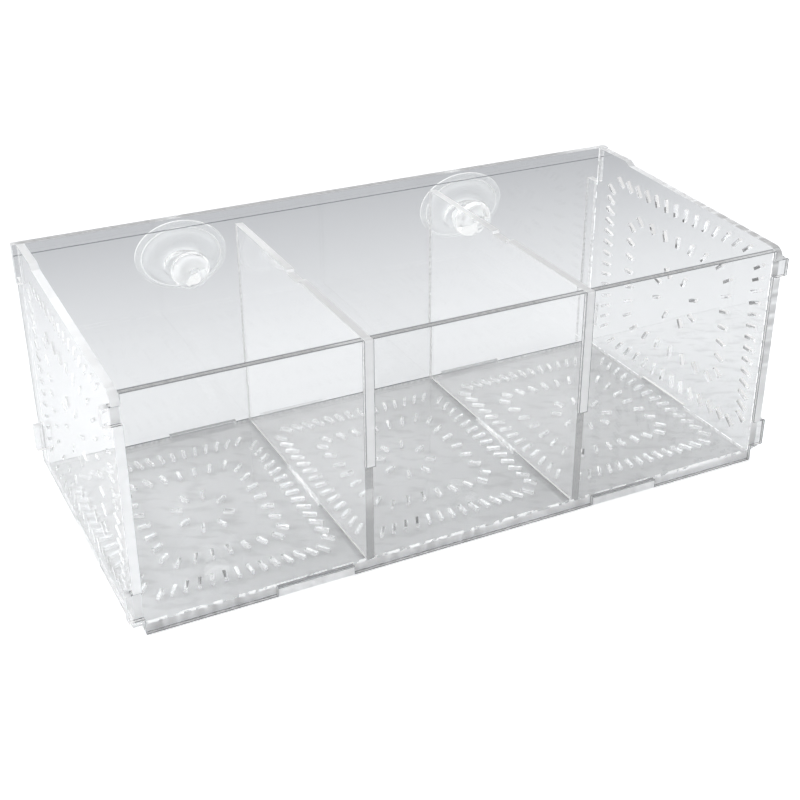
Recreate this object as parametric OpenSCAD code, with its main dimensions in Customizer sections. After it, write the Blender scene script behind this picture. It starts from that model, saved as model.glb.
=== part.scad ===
// Fish breeding box: a clear acrylic trough that hangs inside an aquarium.
// Laser-cut sheets lock together with tabs and slots. Two dividers drop in from above
// and make three compartments, and two suction cups in the back panel hold it up.
// Millimetres, +Z up, +Y towards the aquarium glass. The origin is on the underside,
// midway between the end panels and midway between the front and back panels.

/* [Box] */
// length over the outer faces of the end panels
box_w = 252; // [210:1:360]
// depth over the outer faces of the front and back panels
box_d = 120; // [100:1:180]
// height of the front panel and of the dividers
front_h = 88; // [75:1:130]
// how far the end panels stand above the front panel at their front
end_rise = 0.9; // [0.5:0.1:2]
// how far the top edge of the end panels climbs towards the back
end_climb = 3.5; // [1:0.1:4.5]
// how far the back panel stands above the front panel
back_rise = 6; // [5:0.5:12]
// thickness of every acrylic sheet
sheet = 3; // [2:0.5:5]
// gap round a glued tab in its slot
joint_gap = 0.1; // [0.05:0.05:0.2]
// thickness of the glue between the edge of one sheet and the face of the next
glue_line = 0.05; // [0.02:0.01:0.1]
// gap above the bottom plate's tabs in the notches of the upright panels
notch_headroom = 0.5; // [0.1:0.1:1]

/* [End panels] */
// how far the end panels run past the back panel
end_overhang = 6; // [3:0.5:12]
// chamfer of the lower front corner
end_chamfer = 5.5; // [2:0.5:6]
// radius of the upper front corner
end_corner_r = 4.5; // [2:0.5:6]
// length of the short step up to the raised rear part of the top edge
end_step_l = 3; // [2:0.5:9]
// length of the raised rear part of the top edge
end_raised_l = 19.4; // [6:0.2:26]

/* [Tabs] */
// height of the upper front tabs
top_tab_h = 6.6; // [4:0.2:12]
// drop of the upper front tabs below the top edge of the front panel
top_tab_drop = 3.8; // [2:0.2:10]
// how far the upper front tabs stand out past the end panels
top_tab_out = 3; // [0:0.1:5]
// height of the lower tabs of the front and back panels
low_tab_h = 10.6; // [6:0.2:16]
// height of the lower front tabs above the ground
front_low_tab_z = 6; // [6:0.2:15]
// how far the lower front tabs stand out past the end panels
front_low_tab_out = 2.4; // [0:0.1:5]
// height of the lower back tabs above the ground
back_low_tab_z = 9.6; // [6:0.2:20]
// how far the lower back tabs stand out past the end panels
back_low_tab_out = 3.2; // [0:0.1:5]
// height of the ears at the top of the back panel
ear_h = 15.4; // [8:0.2:24]
// how far the ears stand out past the end panels
ear_out = 1.5; // [0:0.1:4]
// length of the bottom plate's front and back tabs
plate_tab_l = 28; // [15:1:40]
// distance of those tabs from the middle of the box
plate_tab_x = 63; // [30:1:80]
// length of the bottom plate's end tabs
plate_end_tab_l = 30; // [15:1:50]

/* [Dividers] */
// distance of each divider from the middle of the box
divider_x = 42; // [35:0.5:45]
// clearance of a divider in its slots and at the back panel
divider_gap = 0.2; // [0.1:0.05:0.4]
// height of the bottom of the front panel's divider slots
lap_z = 41; // [30:1:55]
// length of the tab under each divider
divider_tab_l = 30; // [15:1:50]
// length of the notch in the top edge of each divider
notch_l = 10.5; // [6:0.5:20]
// depth of that notch
notch_depth = 1.2; // [0.5:0.1:4]

/* [Water slots] */
// width of a water slot
slot_w = 1.2; // [0.8:0.1:1.8]
// length of a slot in the outer ring
outer_slot_l = 5.2; // [3:0.1:6]
// length of a slot in the middle ring
middle_slot_l = 4.6; // [3:0.1:6]
// length of a slot in the inner ring
inner_slot_l = 4; // [2:0.1:5]
// slots along each side of the outer ring
outer_count = 14; // [6:1:15]
// slots along each side of the middle ring
middle_count = 7; // [3:1:9]
// slots along each side of the inner ring
inner_count = 2; // [2:1:3]
// bare sheet between a slot field in the bottom plate and the walls beside it
plate_margin_x = 3; // [2:0.5:10]
// bare sheet between a slot field in the bottom plate and the front and back panels
plate_margin_y = 12; // [5:0.5:25]
// bare sheet between an end panel's slots and the front panel
end_margin_front = 5; // [3:0.5:15]
// bare sheet between an end panel's slots and the back panel
end_margin_back = 8; // [3:0.5:20]
// bare sheet between an end panel's slots and the bottom plate
end_margin_low = 4.5; // [3:0.5:12]
// bare sheet between an end panel's slots and its top edge at the front
end_margin_top = 2.9; // [2.5:0.1:12]

/* [Suction cups] */
// distance of each cup from the middle of the pair
cup_x = 62; // [56:0.5:85]
// shift of the pair towards the left end of the box
cup_shift = 1; // [0:0.1:3]
// drop of the cups' holes below the top edge of the back panel
cup_drop = 20.8; // [20:0.2:32]
// radius of the cup's lip
cup_r = 17.8; // [12:0.2:18.4]
// depth of the skirt from its root to its lip
cup_depth = 5.4; // [4:0.2:9]
// thickness of the cup's skirt
cup_wall = 1.2; // [0.8:0.1:2]
// how far the soft skirt leans upwards on its neck
cup_lean_up = 22; // [0:1:24]
// how far the soft skirt leans to the right on its neck
cup_lean_side = 10; // [0:1:12]
// radius of the hub at the root of the skirt
cup_hub_r = 7; // [6:0.5:8]
// thickness of the hub in front of the skirt
cup_hub_t = 1.4; // [0.8:0.1:3]
// distance of the hub behind the back panel
cup_hub_gap = 3.2; // [3.2:0.1:5]
// radius of the cup's hole in the back panel
cup_hole_r = 5; // [3.5:0.1:5.5]
// running clearance of the neck in its hole
neck_gap = 0.05; // [0.02:0.01:0.1]
// gap between the back panel and the head
cup_play = 0.2; // [0.1:0.05:0.5]
// radius of the head that is pushed through the hole
head_r = 7.5; // [6.5:0.5:9]
// length of the straight edge of the head
head_edge = 2.2; // [1:0.2:4]
// length of the rounded nose of the head
head_nose = 4.6; // [3:0.2:7]

/* [Hidden] */
$fn = 96;

// clear acrylic and clear soft plastic
acrylic = [0.86, 0.93, 0.95, 0.35];
soft_plastic = [0.90, 0.92, 0.92, 0.55];

// sheets
end_front_h = front_h + end_rise;
end_rear_h = end_front_h + end_climb;
back_h = front_h + back_rise;
inner_x = box_w / 2 - sheet;
inner_y = box_d / 2 - sheet;
glued_x = inner_x - glue_line;
glued_y = inner_y - glue_line;
end_rear_y = box_d / 2 + end_overhang;
top_tab_z = front_h - top_tab_drop - top_tab_h;
ear_z = back_h - ear_h;

// slot fields: the rings are set in from the outer one by these steps
middle_share = 0.655;
inner_share = 0.25;
outer_spread = 0.87;
middle_spread = 0.83;
inner_spread = 0.42;

// dividers
divider_slot_w = sheet + 2 * divider_gap;
divider_front_y = -inner_y + divider_gap;
divider_back_y = inner_y - divider_gap;
divider_low_z = sheet + divider_gap;

// suction cups: the neck and head are measured from the outer face of the back panel
neck_r = cup_hole_r - neck_gap;
head_y = -sheet - cup_play;
nose_y = head_y - head_edge;
nose_r = (head_r * head_r + head_nose * head_nose) / (2 * head_nose);
// the skirt is measured from the front of its hub and leans about its own middle
skirt_r = (cup_r * cup_r + cup_depth * cup_depth) / (2 * cup_depth);
skirt_middle = (cup_hub_t + cup_depth) / 2;
left_cup_x = -cup_x - cup_shift;
right_cup_x = cup_x - cup_shift;

// one slot aimed at the middle of its field
module aimed_slot(x, y, slot_l) {
  translate([x, y])
    rotate(atan2(y, x))
      square([slot_l, slot_w], center = true);
}

// a rectangular ring of aimed slots, the same number along every side
module slot_ring(half_x, half_y, spread, count, slot_l) {
  for (i = [0 : count - 1]) {
    run = spread * (2 * i / (count - 1) - 1);
    for (side = [-1, 1]) {
      aimed_slot(half_x * run, half_y * side, slot_l);
      aimed_slot(half_x * side, half_y * run, slot_l);
    }
  }
}

// three rings that fill a field of this size
module slot_field(field_x, field_y) {
  half_x = (field_x - outer_slot_l) / 2;
  half_y = (field_y - outer_slot_l) / 2;
  slot_ring(half_x, half_y, outer_spread, outer_count, outer_slot_l);
  slot_ring(half_x * middle_share, half_y * middle_share, middle_spread, middle_count, middle_slot_l);
  slot_ring(half_x * inner_share, half_y * inner_share, inner_spread, inner_count, inner_slot_l);
}

// the field of one compartment, between two walls at these places
module compartment_field(x_from, x_to) {
  translate([(x_from + x_to) / 2, 0])
    slot_field(x_to - x_from - 2 * plate_margin_x, 2 * inner_y - 2 * plate_margin_y);
}

module bottom_plate() {
  wall = divider_x - sheet / 2;
  color(acrylic)
  linear_extrude(sheet)
  difference() {
    union() {
      square([2 * glued_x, 2 * glued_y], center = true);
      for (side = [-1, 1])
        translate([side * plate_tab_x, 0])
          square([plate_tab_l, box_d], center = true);
      square([box_w, plate_end_tab_l], center = true);
    }
    for (side = [-1, 1])
      translate([side * divider_x, 0])
        square([divider_slot_w, divider_tab_l + 2 * divider_gap], center = true);
    compartment_field(-inner_x, -wall - sheet);
    compartment_field(-wall, wall);
    compartment_field(wall + sheet, inner_x);
  }
}

// notches along the lower edge of the front and back panels for the plate's tabs
module plate_tab_notches() {
  for (side = [-1, 1])
    translate([side * plate_tab_x - plate_tab_l / 2 - joint_gap, -sheet])
      square([plate_tab_l + 2 * joint_gap, 2 * sheet + notch_headroom]);
}

// a pair of tabs at the two ends of an upright panel
module end_tabs(tab_z, tab_h, tab_out) {
  translate([-box_w / 2 - tab_out, tab_z])
    square([box_w + 2 * tab_out, tab_h]);
}

module front_panel() {
  color(acrylic)
  translate([0, -inner_y, 0])
    rotate([90, 0, 0])
      linear_extrude(sheet)
      difference() {
        union() {
          translate([-glued_x, 0])
            square([2 * glued_x, front_h]);
          end_tabs(top_tab_z, top_tab_h, top_tab_out);
          end_tabs(front_low_tab_z, low_tab_h, front_low_tab_out);
        }
        plate_tab_notches();
        for (side = [-1, 1])
          translate([side * divider_x - divider_slot_w / 2, lap_z])
            square([divider_slot_w, front_h]);
      }
}

module back_panel() {
  color(acrylic)
  translate([0, box_d / 2, 0])
    rotate([90, 0, 0])
      linear_extrude(sheet)
      difference() {
        union() {
          translate([-glued_x, 0])
            square([2 * glued_x, back_h]);
          end_tabs(ear_z, ear_h, ear_out);
          end_tabs(back_low_tab_z, low_tab_h, back_low_tab_out);
        }
        plate_tab_notches();
        for (hole_x = [left_cup_x, right_cup_x])
          translate([hole_x, back_h - cup_drop])
            circle(r = cup_hole_r);
      }
}

// outline of an end panel, drawn with Y across and Z up
module end_outline() {
  front_y = -box_d / 2;
  ear_y = inner_y - joint_gap;
  raised_y = ear_y - end_raised_l;
  difference() {
    union() {
      polygon([
        [front_y + end_chamfer, 0],
        [end_rear_y, 0],
        [end_rear_y, ear_z - joint_gap],
        [ear_y, ear_z - joint_gap],
        [ear_y, back_h],
        [raised_y, back_h],
        [raised_y - end_step_l, end_rear_h],
        [front_y + end_corner_r, end_front_h],
        [front_y + end_corner_r, end_front_h - end_corner_r],
        [front_y, end_front_h - end_corner_r],
        [front_y, end_chamfer]
      ]);
      translate([front_y + end_corner_r, end_front_h - end_corner_r])
        circle(r = end_corner_r);
    }
    // notches for the front panel's tabs, open to the front edge
    for (tab = [[top_tab_z, top_tab_h], [front_low_tab_z, low_tab_h]])
      translate([front_y - sheet, tab[0] - joint_gap])
        square([2 * sheet + joint_gap, tab[1] + 2 * joint_gap]);
    // closed slot for the back panel's lower tab
    translate([inner_y - joint_gap, back_low_tab_z - joint_gap])
      square([sheet + 2 * joint_gap, low_tab_h + 2 * joint_gap]);
    // notch in the lower edge for the bottom plate's end tab
    translate([-plate_end_tab_l / 2 - joint_gap, -sheet])
      square([plate_end_tab_l + 2 * joint_gap, 2 * sheet + notch_headroom]);
  }
}

// an end panel with its inner face at X = 0, standing out towards +X
module end_panel() {
  field_y = 2 * inner_y - end_margin_front - end_margin_back;
  field_low = sheet + end_margin_low;
  field_top = end_front_h - end_margin_top;
  rotate([90, 0, 90])
    linear_extrude(sheet)
    difference() {
      end_outline();
      translate([(end_margin_front - end_margin_back) / 2, (field_low + field_top) / 2])
        slot_field(field_y, field_top - field_low);
    }
}

module right_end_panel() {
  color(acrylic)
  translate([inner_x, 0, 0])
    end_panel();
}

module left_end_panel() {
  color(acrylic)
  mirror([1, 0, 0])
    translate([inner_x, 0, 0])
      end_panel();
}

// a divider, drawn with Y across and Z up and centred on X = 0
module divider() {
  color(acrylic)
  translate([-sheet / 2, 0, 0])
    rotate([90, 0, 90])
      linear_extrude(sheet)
      difference() {
        union() {
          translate([divider_front_y, divider_low_z])
            square([divider_back_y - divider_front_y, front_h - divider_low_z]);
          // the ear that laps into the front panel's slot
          translate([-box_d / 2, lap_z + divider_gap])
            square([box_d / 2, front_h - lap_z - divider_gap]);
          // the tab that stands in the bottom plate
          translate([-divider_tab_l / 2, 0])
            square([divider_tab_l, lap_z]);
        }
        translate([-notch_l / 2, front_h - notch_depth])
          square([notch_l, 2 * notch_depth]);
      }
}

module left_divider() {
  translate([-divider_x, 0, 0])
    divider();
}

module right_divider() {
  translate([divider_x, 0, 0])
    divider();
}

// half section of the skirt and its hub: the radius across, the distance along the axis up
module skirt_section() {
  intersection() {
    difference() {
      translate([0, cup_hub_t + skirt_r])
        circle(r = skirt_r);
      translate([0, cup_hub_t + skirt_r])
        circle(r = skirt_r - cup_wall);
    }
    translate([0, cup_hub_t])
      square([cup_r, cup_depth]);
  }
  square([cup_hub_r, cup_hub_t + cup_wall]);
}

// half section of the neck and the head that holds it in the panel
module head_section() {
  translate([0, nose_y + head_edge / 2])
    square([neck_r, cup_hub_gap + skirt_middle - nose_y]);
  translate([0, nose_y])
    square([head_r, head_edge]);
  intersection() {
    translate([0, nose_y - head_nose + nose_r])
      circle(r = nose_r);
    translate([0, nose_y - head_nose])
      square([head_r, head_nose]);
  }
}

// puts a piece of the skirt in place on the end of the neck
module leaning() {
  translate([0, 0, cup_hub_gap + skirt_middle])
    rotate([cup_lean_up, cup_lean_side, 0])
      translate([0, 0, -skirt_middle])
        children();
}

// a soft cup whose skirt leans on the end of its neck
module suction_cup() {
  color(soft_plastic)
  translate([0, box_d / 2, back_h - cup_drop])
    rotate([-90, 0, 0])
    union() {
      // the neck ends inside the hub
      intersection() {
        rotate_extrude()
          head_section();
        leaning()
          translate([0, 0, cup_hub_t - 2 * cup_r])
            cylinder(r = cup_r, h = 2 * cup_r);
      }
      leaning()
        rotate_extrude()
          skirt_section();
    }
}

module left_suction_cup() {
  translate([left_cup_x, 0, 0])
    suction_cup();
}

module right_suction_cup() {
  translate([right_cup_x, 0, 0])
    suction_cup();
}

bottom_plate();
front_panel();
back_panel();
left_end_panel();
right_end_panel();
left_divider();
right_divider();
left_suction_cup();
right_suction_cup();
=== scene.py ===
import math

import bpy
from mathutils import Matrix, Vector


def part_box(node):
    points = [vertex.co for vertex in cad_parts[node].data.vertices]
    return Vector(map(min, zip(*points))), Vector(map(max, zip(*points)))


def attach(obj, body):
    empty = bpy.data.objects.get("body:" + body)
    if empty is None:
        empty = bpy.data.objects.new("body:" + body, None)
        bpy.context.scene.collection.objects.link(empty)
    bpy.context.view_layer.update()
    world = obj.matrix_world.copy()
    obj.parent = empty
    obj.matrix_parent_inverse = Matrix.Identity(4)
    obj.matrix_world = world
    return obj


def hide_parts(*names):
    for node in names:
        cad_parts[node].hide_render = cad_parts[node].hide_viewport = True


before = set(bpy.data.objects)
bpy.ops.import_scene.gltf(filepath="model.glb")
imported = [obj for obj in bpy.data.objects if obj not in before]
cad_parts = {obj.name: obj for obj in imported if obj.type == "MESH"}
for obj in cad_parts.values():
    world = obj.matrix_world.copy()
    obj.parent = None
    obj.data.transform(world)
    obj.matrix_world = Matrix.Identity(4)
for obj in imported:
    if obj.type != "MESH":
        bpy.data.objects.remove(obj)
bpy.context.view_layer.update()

# Fish breeding box in clear acrylic: metres, +Z up, +Y towards the aquarium glass.
bpy.context.scene.view_settings.view_transform = "Standard"
print("stage: CAD frame loaded")


def hexToLinear(code):
    parts = [int(code[i:i + 2], 16) / 255 for i in (1, 3, 5)]
    return tuple(c / 12.92 if c <= 0.04045 else ((c + 0.055) / 1.055) ** 2.4 for c in parts) + (1.0,)


def newMaterial(name):
    material = bpy.data.materials.new(name)
    material.use_nodes = True
    material.node_tree.nodes.clear()
    return material, material.node_tree


def addNode(tree, kind, settings=None, inputs=None):
    # inputs: socket name or number -> a value, or the output socket that feeds it
    node = tree.nodes.new(kind)
    for key, value in (settings or {}).items():
        setattr(node, key, value)
    for key, value in (inputs or {}).items():
        if isinstance(value, bpy.types.NodeSocket):
            tree.links.new(value, node.inputs[key])
        else:
            node.inputs[key].default_value = value
    return node


def addMath(tree, operation, *values):
    node = addNode(tree, "ShaderNodeMath", {"operation": operation}, dict(enumerate(values)))
    return node.outputs[0]


def addRange(tree, value, source=(0.0, 1.0), target=(0.0, 1.0), soft=False):
    # carries a value from the source range to the target range, and stops at its ends
    kind = "SMOOTHSTEP" if soft else "LINEAR"
    return addNode(tree, "ShaderNodeMapRange", {"interpolation_type": kind}, {
        "Value": value, "From Min": source[0], "From Max": source[1],
        "To Min": target[0], "To Max": target[1]}).outputs[0]


def addNoise(tree, vector, scale, detail, roughness=0.5):
    return addNode(tree, "ShaderNodeTexNoise", {"noise_dimensions": "3D"}, {
        "Vector": vector, "Scale": scale, "Detail": detail, "Roughness": roughness}).outputs[0]


def addBlend(tree, share, first, second):
    node = addNode(tree, "ShaderNodeMix", {"data_type": "RGBA"}, {0: share, 6: first, 7: second})
    return node.outputs[2]


def finishSurface(tree, shader, lampThrough, tint):
    # lamps reach what lies behind a clear surface, by the share lampThrough
    ray = addNode(tree, "ShaderNodeLightPath")
    through = addMath(tree, "MULTIPLY", ray.outputs["Is Shadow Ray"], lampThrough)
    passed = addNode(tree, "ShaderNodeBsdfTransparent", inputs={"Color": hexToLinear(tint)})
    both = addNode(tree, "ShaderNodeMixShader", inputs={
        0: through, 1: shader.outputs[0], 2: passed.outputs[0]})
    addNode(tree, "ShaderNodeOutputMaterial", inputs={"Surface": both.outputs[0]})


# Acrylic sheet: cast PMMA, laser-cut. The faces keep the mirror polish of the casting. The outer
# cuts scatter light, with the fine upright ridges that the beam leaves, and the slots' walls are
# melted glossy.
acrylic = {
    "tint": "#FFFFFF",          # 3 mm of clear cast acrylic has no colour to speak of
    "edgeTint": "#FAFBFC",      # light scattered by the cut
    "ior": 1.491,
    "faceRoughness": 0.0,
    "edgeClear": 0.3,           # share of light that still passes through an outer cut
    "edgeRoughness": 0.28,
    "paintedEdgeGlow": 0.07,           # painted glow on the outer cuts, standing in for light that the sheet pipes to them
    "wallClear": 0.9,           # the same for the walls of the slots
    "wallRoughness": 0.06,
    # painted glints: glow on the slots' walls that no lamp gives
    "paintedWallGlint": 0.14,
    "alongNormal": 0.7,         # a surface faces along an axis where its normal has more of it
    "faceDown": -0.5,           # and down where it has less of Z
    "faceUpRange": (0.3, 0.9),  # from a sloping cut to one that faces straight up
    "topShare": 0.6,            # how much a cut that faces up scatters, by the side of the others
    "lampThroughFace": 0.8,     # lamps shine through the faces, and less through the cuts
    "lampThroughEdge": 0.6,
    "lampThroughWall": 0.15,
    "ridgeSpacing": 0.0004,     # real ridges are 0.1 to 0.2 mm, drawn at 0.4 mm so that they show
    "ridgeDepth": 0.00004,
    "ridgeRoughness": 0.6,
    "mottleSpacing": 0.0016,    # melted and bare stretches that the beam leaves along the cut
    "mottleRange": (0.35, 0.65),
    "mottleDepth": 0.35,
    "glossyShare": 0.35,        # how much the dividers' lower cuts scatter, by the side of the others
    "glossySoftness": 0.0005,
    "rimShadeTint": "#6B6F73",       # painted shade: dark lines at the two rims of the front panel's cuts
    "rimWidth": 0.0008,
    "rimShadeShare": 0.9,
    "reflectedLineTint": "#94989C",     # painted reflection of a dark strip: a grey line along the back panel's inner face
    "reflectedLineWidth": 0.0004,
    "reflectedLineShare": 0.4,
    "gapTint": "#74787C",       # painted shade at the foot of the upright sheets, where the joints are left dry
    "gapShare": 0.8,
    "footHeight": 0.006,        # cuts that face down below this stand on the plate or the floor
    "lowestRange": (0.001, 0.002),
    "lowestShare": 0.4,         # how dark the painted shade is on those on the floor, by the side of those on the plate
    "glueTint": "#FCFDFE",
    "glueShare": 0.9,
    "glueGlow": 0.5,            # painted glow, standing in for light that reaches the glue through the box
    "glueSpacing": 0.0026,      # bubbles and bare stretches in the bead of set glue
    "glueFrom": 0.47,
}

# across: axis through the thickness. inside: which way along it the box's inside lies.
# slots: the field they lie in, beads: set glue in the inner corners, and gap: a dry joint with
# painted shade, each
# as axis, from and to. paintedFaceGlow: painted glow on the faces. glow: painted glow on the cuts.
# footShade: how dark the painted shade is on the dry cuts that stand on the plate. rimsFrom: no
# painted rim shade left of here.
endSlots = [(1, -0.054, 0.054), (2, 0.0045, 0.0868)]
endBeads = [(2, 0.003, 0.0033), (1, -0.057, -0.0565), (1, 0.0565, 0.057)]
sheets = {
    "bottom_plate": {"across": 2, "inside": 1, "slots": [(0, -0.121, 0.121), (1, -0.0535, 0.0535)]},
    "front_panel": {"across": 1, "inside": 1, "beads": [(2, 0.003, 0.0041)], "rimsFrom": -0.1265,
                    "footShade": 0.85},
    "back_panel": {"across": 1, "inside": -1, "footShade": 0.85, "gap": [(2, 0.003, 0.0034)],
                   "reflectedLine": 0.0899},
    "left_end_panel": {"across": 0, "inside": 1, "slots": endSlots, "beads": endBeads},
    "right_end_panel": {"across": 0, "inside": -1, "slots": endSlots, "beads": endBeads},
    "left_divider": {"across": 0, "inside": 1, "glossyBelow": 0.041, "paintedFaceGlow": 0.028, "glow": 0.16,
                     "footShade": 0.4},
    "right_divider": {"across": 0, "inside": 1, "glossyBelow": 0.041, "paintedFaceGlow": 0.028, "glow": 0.16,
                      "footShade": 0.4},
}


def makeAcrylic(name, node):
    sheet = sheets[node]
    across = sheet["across"]
    low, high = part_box(node)
    material, tree = newMaterial(name)

    def calc(operation, *values):
        return addMath(tree, operation, *values)

    def within(axis, start, end):
        offMiddle = calc("ABSOLUTE", calc("SUBTRACT", place.outputs[axis], (start + end) / 2))
        return calc("LESS_THAN", offMiddle, (end - start) / 2)

    def coat(share, tint, most):
        # a stretch of the surface takes this tint and lets less light through
        nonlocal colour, opaque
        colour = addBlend(tree, share, colour, hexToLinear(tint))
        opaque = calc("MAXIMUM", opaque, calc("MULTIPLY", share, most))

    coords = addNode(tree, "ShaderNodeTexCoord")
    place = addNode(tree, "ShaderNodeSeparateXYZ", inputs={0: coords.outputs["Object"]})
    # the normal turns round for a ray inside the sheet, and is turned back here
    turned = addNode(tree, "ShaderNodeSeparateXYZ", inputs={0: coords.outputs["Normal"]})
    fromWithin = addNode(tree, "ShaderNodeNewGeometry").outputs["Backfacing"]
    facing = calc("SUBTRACT", 1.0, calc("MULTIPLY", fromWithin, 2.0))
    normal = [calc("MULTIPLY", part, facing) for part in turned.outputs]
    isEdge = calc("LESS_THAN", calc("ABSOLUTE", normal[across]), acrylic["alongNormal"])
    onInside = calc("GREATER_THAN", calc("MULTIPLY", normal[across], sheet["inside"]),
                    acrylic["alongNormal"])

    # ridges run from face to face, so the pattern only varies along the cut
    others = [axis for axis in (0, 1, 2) if axis != across]
    along = calc("ADD", place.outputs[others[0]], place.outputs[others[1]])
    flat = addNode(tree, "ShaderNodeCombineXYZ", inputs={0: along}).outputs[0]
    ridges = addNoise(tree, flat, 1 / acrylic["ridgeSpacing"], 2.0, acrylic["ridgeRoughness"])
    bump = addNode(tree, "ShaderNodeBump", inputs={
        "Strength": isEdge, "Distance": acrylic["ridgeDepth"], "Height": ridges})

    isWall = 0.0
    if "slots" in sheet:
        isWall = isEdge
        for field in sheet["slots"]:
            isWall = calc("MULTIPLY", isWall, within(*field))

    # cuts that face down stay glossy, and so do the dividers' cuts below their laps
    frosted = isEdge
    if across != 2:
        frosted = calc("MULTIPLY", isEdge, calc("GREATER_THAN", normal[2], acrylic["faceDown"]))
    if "glossyBelow" in sheet:
        soft = acrylic["glossySoftness"]
        above = addRange(tree, place.outputs[2],
                         (sheet["glossyBelow"] - soft, sheet["glossyBelow"] + soft),
                         (acrylic["glossyShare"], 1.0))
        frosted = calc("MULTIPLY", frosted, above)
    mottle = addNoise(tree, flat, 1 / acrylic["mottleSpacing"], 1.0)
    worn = addRange(tree, mottle, acrylic["mottleRange"], (1 - acrylic["mottleDepth"], 1.0))
    scatter = addRange(tree, isWall, target=(1 - acrylic["edgeClear"], 1 - acrylic["wallClear"]))
    facesUp = addRange(tree, normal[2], acrylic["faceUpRange"], (1.0, acrylic["topShare"]))
    opaque = calc("MULTIPLY", calc("MULTIPLY", frosted, worn), calc("MULTIPLY", scatter, facesUp))
    # painted glow on the cuts and painted glints on the slots' walls, weaker on cuts that face up
    cutGlow = addRange(tree, isWall, target=(sheet.get("glow", acrylic["paintedEdgeGlow"]),
                                             acrylic["paintedWallGlint"]))
    glow = calc("MULTIPLY", calc("MULTIPLY", frosted, cutGlow), facesUp)
    # painted glow on the dividers' faces
    if "paintedFaceGlow" in sheet:
        glow = calc("MAXIMUM", glow, calc("MULTIPLY", calc("SUBTRACT", 1.0, isEdge), sheet["paintedFaceGlow"]))
    colour = addBlend(tree, frosted, hexToLinear(acrylic["tint"]), hexToLinear(acrylic["edgeTint"]))

    # painted shade: dark lines along the two rims of the front panel's cuts
    if "rimsFrom" in sheet:
        middle = (low[across] + high[across]) / 2
        bare = (high[across] - low[across]) / 2 - acrylic["rimWidth"]
        offMiddle = calc("ABSOLUTE", calc("SUBTRACT", place.outputs[across], middle))
        rim = calc("MULTIPLY", calc("GREATER_THAN", offMiddle, bare),
                   calc("GREATER_THAN", place.outputs[0], sheet["rimsFrom"]))
        coat(calc("MULTIPLY", isEdge, rim), acrylic["rimShadeTint"], acrylic["rimShadeShare"])

    # painted reflection: a grey line along the back panel's inner face
    if "reflectedLine" in sheet:
        half = acrylic["reflectedLineWidth"] / 2
        reflectedLine = within(2, sheet["reflectedLine"] - half, sheet["reflectedLine"] + half)
        coat(calc("MULTIPLY", reflectedLine, onInside), acrylic["reflectedLineTint"], acrylic["reflectedLineShare"])

    # painted shade on the cuts that face down at the sheets' feet, where they stand on the plate or
    # the floor
    if "footShade" in sheet:
        footShade = calc("MULTIPLY", calc("LESS_THAN", normal[2], acrylic["faceDown"]),
                    calc("LESS_THAN", place.outputs[2], acrylic["footHeight"]))
        raised = addRange(tree, place.outputs[2], acrylic["lowestRange"],
                          (acrylic["lowestShare"], 1.0))
        footShade = calc("MULTIPLY", calc("MULTIPLY", footShade, isEdge), raised)
        coat(footShade, acrylic["gapTint"], sheet["footShade"])

    # painted shade along the back panel's dry joint, on its inner face
    for gap in sheet.get("gap", ()):
        coat(calc("MULTIPLY", within(*gap), onInside), acrylic["gapTint"], acrylic["gapShare"])

    if "beads" in sheet:
        run = addNoise(tree, coords.outputs["Object"], 1 / acrylic["glueSpacing"], 3.0)
        setGlue = calc("MULTIPLY", calc("GREATER_THAN", run, acrylic["glueFrom"]), onInside)
        for bead in sheet["beads"]:
            glue = calc("MULTIPLY", within(*bead), setGlue)
            coat(glue, acrylic["glueTint"], acrylic["glueShare"])
            # painted glow on the glue
            glow = calc("MAXIMUM", glow, calc("MULTIPLY", glue, acrylic["glueGlow"]))

    cutRough = addRange(tree, isWall, target=(acrylic["edgeRoughness"], acrylic["wallRoughness"]))
    rough = addRange(tree, frosted, target=(acrylic["faceRoughness"], cutRough))
    shader = addNode(tree, "ShaderNodeBsdfPrincipled", inputs={
        "Base Color": colour, "IOR": acrylic["ior"],
        "Transmission Weight": calc("SUBTRACT", 1.0, opaque), "Roughness": rough,
        "Normal": bump.outputs[0],
        "Emission Color": hexToLinear(acrylic["edgeTint"]), "Emission Strength": glow})
    cutPassing = addRange(tree, isWall, target=(acrylic["lampThroughEdge"],
                                                acrylic["lampThroughWall"]))
    passing = addRange(tree, isEdge, target=(acrylic["lampThroughFace"], cutPassing))
    finishSurface(tree, shader, passing, acrylic["tint"])
    return material


for node in sheets:
    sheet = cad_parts[node]
    sheet.data.materials.clear()
    sheet.data.materials.append(makeAcrylic("laserCutAcrylic" + node.title().replace("_", ""), node))
print("stage: acrylic sheets finished")


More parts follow.
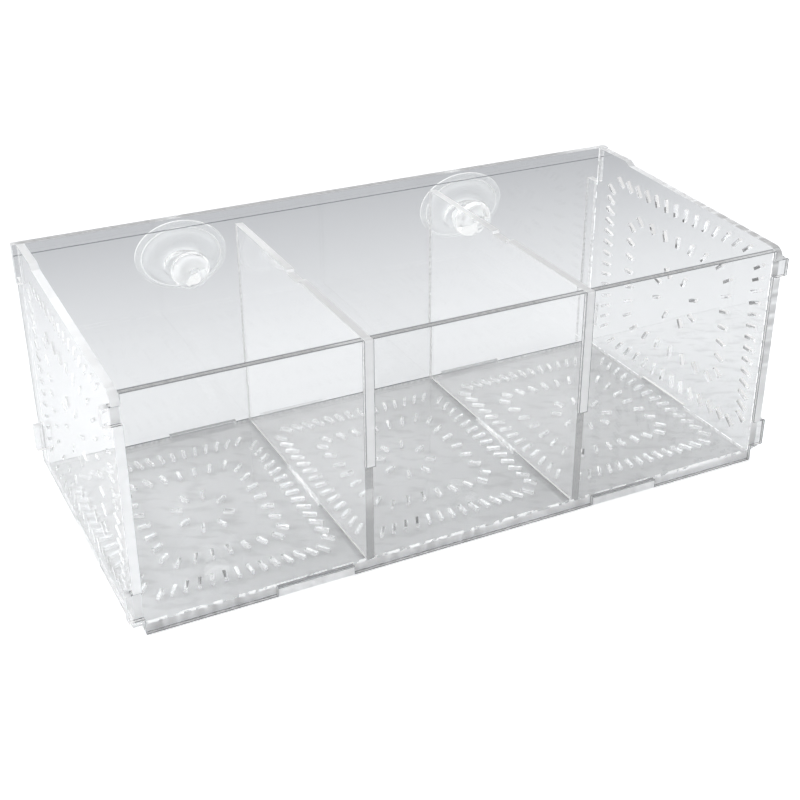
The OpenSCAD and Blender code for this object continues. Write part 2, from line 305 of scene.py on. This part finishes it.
# Suction cups: plasticised PVC, injection moulded. It is glassy, a little milky where it is thick,
# with a faint painted glow and a painted highlight round the lip. The rings are turned about the
# cup's own axis.
softPvc = {
    "tint": "#FBFCFC",
    "milky": 0.08,              # share of light that doesn't pass straight through
    "glow": 0.04,               # painted glow, standing in for light that the moulding gathers
    # painted highlight round the lip: a whiter, milkier band that glows
    "lipHighlightTint": "#FDFEFE",
    "lipHighlightMilky": 0.6,
    "lipHighlightGlow": 0.25,
    "ior": 1.53,
    "roughness": 0.03,
    "cloudSize": 0.012,         # clouds in the soft plastic, and how far they change its milkiness
    "cloudRange": (0.35, 0.65),
    "cloudDepth": (1.6, 0.4),
    "lampThrough": 0.85,
}
cupShape = {
    "sides": 96,
    "panelFace": 0.060,         # outer face of the back panel
    "height": 0.0732,           # of the holes
    "places": {"left": -0.063, "right": 0.061},
    "hubGap": 0.0032,
    "pivot": 0.0034,            # from the hub's back face to the point it leans about
    "leanUp": 22,
    "leanSide": 10,
    "hubMiddle": 0.0014,        # from the hub's back face to where the neck ends inside it
    "weldReach": 1e-6,
    "bandReach": 5e-5,          # how near a face's middle lies to that of its ring
    "creaseAngle": 38,
}
# skirt and hub, from the middle of the back face round the lip to the middle of the front face
skirtRings = [
    (0.0066, 0.0), (0.0070, 0.0004), (0.0071, 0.0014), (0.0074, 0.0020), (0.0085, 0.0026),
    (0.0100, 0.0030), (0.0115, 0.0035), (0.0130, 0.0041), (0.0138, 0.00455), (0.0143, 0.0052),
    (0.0152, 0.0055), (0.0156, 0.00568), (0.0163, 0.0060), (0.0172, 0.0064), (0.0177, 0.0066),
    (0.0178, 0.0069), (0.0176, 0.0071), (0.0172, 0.0071), (0.0164, 0.0067), (0.0150, 0.0061),
    (0.0130, 0.0053), (0.0110, 0.0046), (0.0085, 0.0037), (0.0060, 0.0031), (0.0035, 0.0028),
    (0.0015, 0.0027),
]
highlightLipRings = (10, 14, 15)  # they carry the painted highlight
# neck and head, from past the hub, where it is cut off, to the tip of the nose
headRings = [
    (0.00495, 0.0090), (0.00495, -0.0030), (0.0054, -0.0032), (0.0071, -0.0032), (0.0075, -0.0036),
    (0.0075, -0.0050), (0.0073, -0.0058), (0.0066, -0.0074), (0.0055, -0.0087), (0.0040, -0.0096),
    (0.0024, -0.0100), (0.0018, -0.0099), (0.0010, -0.0095),
]


def makeSoftPvc(name, tint, milky, glow):
    material, tree = newMaterial(name)
    coords = addNode(tree, "ShaderNodeTexCoord")
    cloud = addNoise(tree, coords.outputs["Object"], 1 / softPvc["cloudSize"], 2.0)
    clear = addRange(tree, cloud, softPvc["cloudRange"],
                     [1 - depth * milky for depth in softPvc["cloudDepth"]])
    shader = addNode(tree, "ShaderNodeBsdfPrincipled", inputs={
        "Base Color": hexToLinear(tint), "IOR": softPvc["ior"], "Transmission Weight": clear,
        "Roughness": softPvc["roughness"], "Emission Color": hexToLinear(tint),
        "Emission Strength": glow})
    finishSurface(tree, shader, softPvc["lampThrough"], "#FFFFFF")
    return material


clearPvc = makeSoftPvc("clearSoftPvc", softPvc["tint"], softPvc["milky"], softPvc["glow"])
# painted highlight for the rings of the lip
highlightPvc = makeSoftPvc("paintedLipHighlightPvc", softPvc["lipHighlightTint"], softPvc["lipHighlightMilky"], softPvc["lipHighlightGlow"])


def turnRings(name, rings, highlightRings=()):
    # a filled circle is drawn out and resized ring by ring, then closed by its last face
    bpy.ops.object.select_all(action="DESELECT")
    bpy.ops.mesh.primitive_circle_add(vertices=cupShape["sides"], radius=rings[0][0],
                                      fill_type="NGON", location=(0, 0, rings[0][1]))
    piece = bpy.context.object
    piece.name = name
    bpy.ops.object.transform_apply(location=True, rotation=True, scale=True)
    bpy.ops.object.mode_set(mode="EDIT")
    bpy.ops.mesh.select_mode(type="EDGE")
    bpy.ops.mesh.select_all(action="SELECT")
    for (fromRadius, fromHeight), (toRadius, toHeight) in zip(rings, rings[1:]):
        rise = (0, 0, toHeight - fromHeight)
        bpy.ops.mesh.extrude_edges_move(TRANSFORM_OT_translate={"value": rise})
        bpy.ops.transform.resize(value=(toRadius / fromRadius, toRadius / fromRadius, 1),
                                 center_override=(0, 0, toHeight))
    bpy.ops.mesh.edge_face_add()
    bpy.ops.mesh.select_all(action="SELECT")
    bpy.ops.mesh.remove_doubles(threshold=cupShape["weldReach"])
    bpy.ops.mesh.normals_make_consistent(inside=False)
    bpy.ops.object.mode_set(mode="OBJECT")
    piece.data.materials.append(clearPvc)
    piece.data.materials.append(highlightPvc)
    # the lip's rings take the painted highlight
    for ring in highlightRings:
        radius = (rings[ring][0] + rings[ring + 1][0]) / 2
        height = (rings[ring][1] + rings[ring + 1][1]) / 2
        for face in piece.data.polygons:
            offRing = abs(math.hypot(face.center.x, face.center.y) - radius)
            if max(offRing, abs(face.center.z - height)) < cupShape["bandReach"]:
                face.material_index = 1
    return piece


def makeCup(side):
    place = Vector((cupShape["places"][side], cupShape["panelFace"], cupShape["height"]))
    outward = Matrix.Translation(place) @ Matrix.Rotation(math.radians(-90), 4, "X")
    pivot = Matrix.Translation((0, 0, cupShape["hubGap"] + cupShape["pivot"]))
    lean = (Matrix.Rotation(math.radians(cupShape["leanSide"]), 4, "Y")
            @ Matrix.Rotation(math.radians(cupShape["leanUp"]), 4, "X"))
    skirt = turnRings(side + "_cup_moulding", skirtRings, highlightLipRings)
    skirt.matrix_world = outward @ pivot @ lean @ Matrix.Translation((0, 0, -cupShape["pivot"]))
    head = turnRings(side + "_cup_head", headRings)
    bpy.ops.object.mode_set(mode="EDIT")
    bpy.ops.mesh.select_all(action="SELECT")
    hub = pivot @ lean @ Vector((0, 0, cupShape["hubMiddle"] - cupShape["pivot"]))
    bpy.ops.mesh.bisect(plane_co=hub, plane_no=lean @ Vector((0, 0, 1)), use_fill=True,
                        clear_outer=True)
    bpy.ops.object.mode_set(mode="OBJECT")
    head.matrix_world = outward
    for piece in (head, skirt):
        bpy.ops.object.select_all(action="DESELECT")
        piece.select_set(True)
        bpy.context.view_layer.objects.active = piece
        bpy.ops.object.transform_apply(location=True, rotation=True, scale=True)
    bpy.ops.object.modifier_add(type="BOOLEAN")
    joint = skirt.modifiers[-1]
    joint.operation = "UNION"
    joint.solver = "EXACT"
    joint.object = head
    bpy.ops.object.modifier_apply(modifier=joint.name)
    bpy.data.objects.remove(head, do_unlink=True)
    bpy.ops.object.shade_smooth_by_angle(angle=math.radians(cupShape["creaseAngle"]))
    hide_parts(side + "_suction_cup")
    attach(skirt, side + "_cup")
    return skirt


for side in ("left", "right"):
    cup = makeCup(side)
    print("stage:", cup.name, "turned,", len(cup.data.polygons), "faces")


# Floor, light and camera
floorFinish = {
    "size": 4.0,
    "drop": 0.0002,             # below the box's feet
    "nearColour": "#E9EBED",    # floor by the box
    "farColour": "#ABADB1",     # floor where the light has fallen off
    "fallOff": (0.03, 0.37),
    "shadeDepth": (-0.045, 0.02),   # by its front edge the plate lies over the box's own shade
    "shadeSide": 0.118,
    "shadeShare": 0.89,
    "shadeEnd": 0.058,          # in front of the box and behind it there is none
    "streakTurn": -27,          # the slots draw the low light out into soft streaks on the floor
    "streakSize": (0.0085, 0.0042, 1),
    "streakRange": (0.28, 0.52),
    "streakShare": 0.12,
    "cameraGlow": (0.45, 0.75),     # what the bare floor lacks of white, near and far
    "leftEdge": (-0.165, -0.105),   # left of the box the floor stays white
    "sheetGlowLeft": 0.25,      # what it lacks of white as it shows in and through the sheets
}
sky = {"slope": (-0.6, 0.6), "level": (0.78, 0.90)}  # from in front of the box to behind it
softboxes = {
    "overheadSoftbox": {"place": (0.1, 0.35, 0.9), "width": 0.9, "depth": 0.7, "watts": 2.0},
    "keySoftbox": {"place": (-0.95, 0.25, 0.42), "width": 0.10, "depth": 0.10, "watts": 3.2},
}
viewpoint = {
    "lens": 61.27,
    "shift": (-0.02256, 0.01135),
    "place": (-0.20632, -0.41336, 0.27424),
    "turn": (61.549, -0.116, -27.158),
}
# a ray meets up to a dozen acrylic surfaces before it leaves the box
bounces = {"max_bounces": 32, "transmission_bounces": 28, "transparent_max_bounces": 32,
           "glossy_bounces": 8, "diffuse_bounces": 3}


def makeFloor():
    bpy.ops.object.select_all(action="DESELECT")
    bpy.ops.mesh.primitive_plane_add(size=floorFinish["size"], location=(0, 0, -floorFinish["drop"]))
    floor = bpy.context.object
    floor.name = "studioFloor"
    material, tree = newMaterial("paintedStudioFloor")
    coords = addNode(tree, "ShaderNodeTexCoord")
    place = addNode(tree, "ShaderNodeSeparateXYZ", inputs={0: coords.outputs["Object"]})
    away = addRange(tree, place.outputs[1], floorFinish["fallOff"], soft=True)
    colour = addBlend(tree, away, hexToLinear(floorFinish["nearColour"]),
                      hexToLinear(floorFinish["farColour"]))

    inFront = addRange(tree, place.outputs[1], floorFinish["shadeDepth"],
                       (floorFinish["shadeShare"], 1.0), soft=True)
    atSides = addRange(tree, addMath(tree, "ABSOLUTE", place.outputs[0]),
                       (0.0, floorFinish["shadeSide"]), soft=True)
    drawnOut = addNode(tree, "ShaderNodeMapping", {"vector_type": "TEXTURE"}, {
        "Vector": coords.outputs["Object"], "Scale": floorFinish["streakSize"],
        "Rotation": (0, 0, math.radians(floorFinish["streakTurn"]))})
    streaks = addRange(tree, addNoise(tree, drawnOut.outputs[0], 1.0, 1.0),
                       floorFinish["streakRange"], (1 - floorFinish["streakShare"], 1.0), soft=True)
    beyond = addMath(tree, "GREATER_THAN", addMath(tree, "ABSOLUTE", place.outputs[1]),
                     floorFinish["shadeEnd"])
    light = addMath(tree, "MULTIPLY", addMath(tree, "MAXIMUM", inFront, atSides), streaks)
    shaded = addNode(tree, "ShaderNodeVectorMath", {"operation": "SCALE"}, {
        0: colour, "Scale": addMath(tree, "MAXIMUM", light, beyond)})
    diffuse = addNode(tree, "ShaderNodeBsdfDiffuse", inputs={"Color": shaded.outputs[0]})

    ray = addNode(tree, "ShaderNodeLightPath")
    bare = addRange(tree, away, target=floorFinish["cameraGlow"])
    left = addRange(tree, place.outputs[0], floorFinish["leftEdge"],
                    (floorFinish["sheetGlowLeft"], 0.0), soft=True)
    bent = addMath(tree, "MAXIMUM", ray.outputs["Is Transmission Ray"], ray.outputs["Is Glossy Ray"])
    lift = addMath(tree, "ADD", addMath(tree, "MULTIPLY", ray.outputs["Is Camera Ray"], bare),
                   addMath(tree, "MULTIPLY", bent, left))
    glow = addNode(tree, "ShaderNodeEmission", inputs={"Color": (1, 1, 1, 1), "Strength": lift})
    both = addNode(tree, "ShaderNodeAddShader", inputs={0: diffuse.outputs[0], 1: glow.outputs[0]})
    addNode(tree, "ShaderNodeOutputMaterial", inputs={"Surface": both.outputs[0]})
    floor.data.materials.append(material)


def makeWorld():
    world = bpy.data.worlds.new("studioSky")
    bpy.context.scene.world = world
    world.use_nodes = True
    tree = world.node_tree
    tree.nodes.clear()
    coords = addNode(tree, "ShaderNodeTexCoord")
    towards = addNode(tree, "ShaderNodeSeparateXYZ", inputs={0: coords.outputs["Generated"]})
    level = addRange(tree, towards.outputs[1], sky["slope"], sky["level"], soft=True)
    ray = addNode(tree, "ShaderNodeLightPath")
    seen = addMath(tree, "MAXIMUM", ray.outputs["Is Camera Ray"], level)
    background = addNode(tree, "ShaderNodeBackground", inputs={
        "Color": (1, 1, 1, 1), "Strength": seen})
    addNode(tree, "ShaderNodeOutputWorld", inputs={"Surface": background.outputs[0]})


def makeSoftbox(name):
    softbox = softboxes[name]
    light = bpy.data.lights.new(name, "AREA")
    light.shape = "RECTANGLE"
    light.size, light.size_y, light.energy = softbox["width"], softbox["depth"], softbox["watts"]
    lamp = bpy.data.objects.new(name, light)
    bpy.context.scene.collection.objects.link(lamp)
    lamp.location = softbox["place"]
    lamp.rotation_euler = (-lamp.location).to_track_quat("-Z", "Y").to_euler()
    return lamp


def makeCamera():
    camera = bpy.data.cameras.new("camera")
    camera.sensor_width = 36
    camera.lens = viewpoint["lens"]
    camera.shift_x, camera.shift_y = viewpoint["shift"]
    camera.clip_start = 0.01
    viewer = bpy.data.objects.new("camera", camera)
    bpy.context.scene.collection.objects.link(viewer)
    viewer.location = viewpoint["place"]
    viewer.rotation_euler = [math.radians(angle) for angle in viewpoint["turn"]]
    bpy.context.scene.camera = viewer


makeFloor()
makeWorld()
makeSoftbox("overheadSoftbox").visible_glossy = False  # else its edges cut across the plate
makeSoftbox("keySoftbox")
makeCamera()
for key, value in bounces.items():
    setattr(bpy.context.scene.cycles, key, value)
print("stage: studio finished")
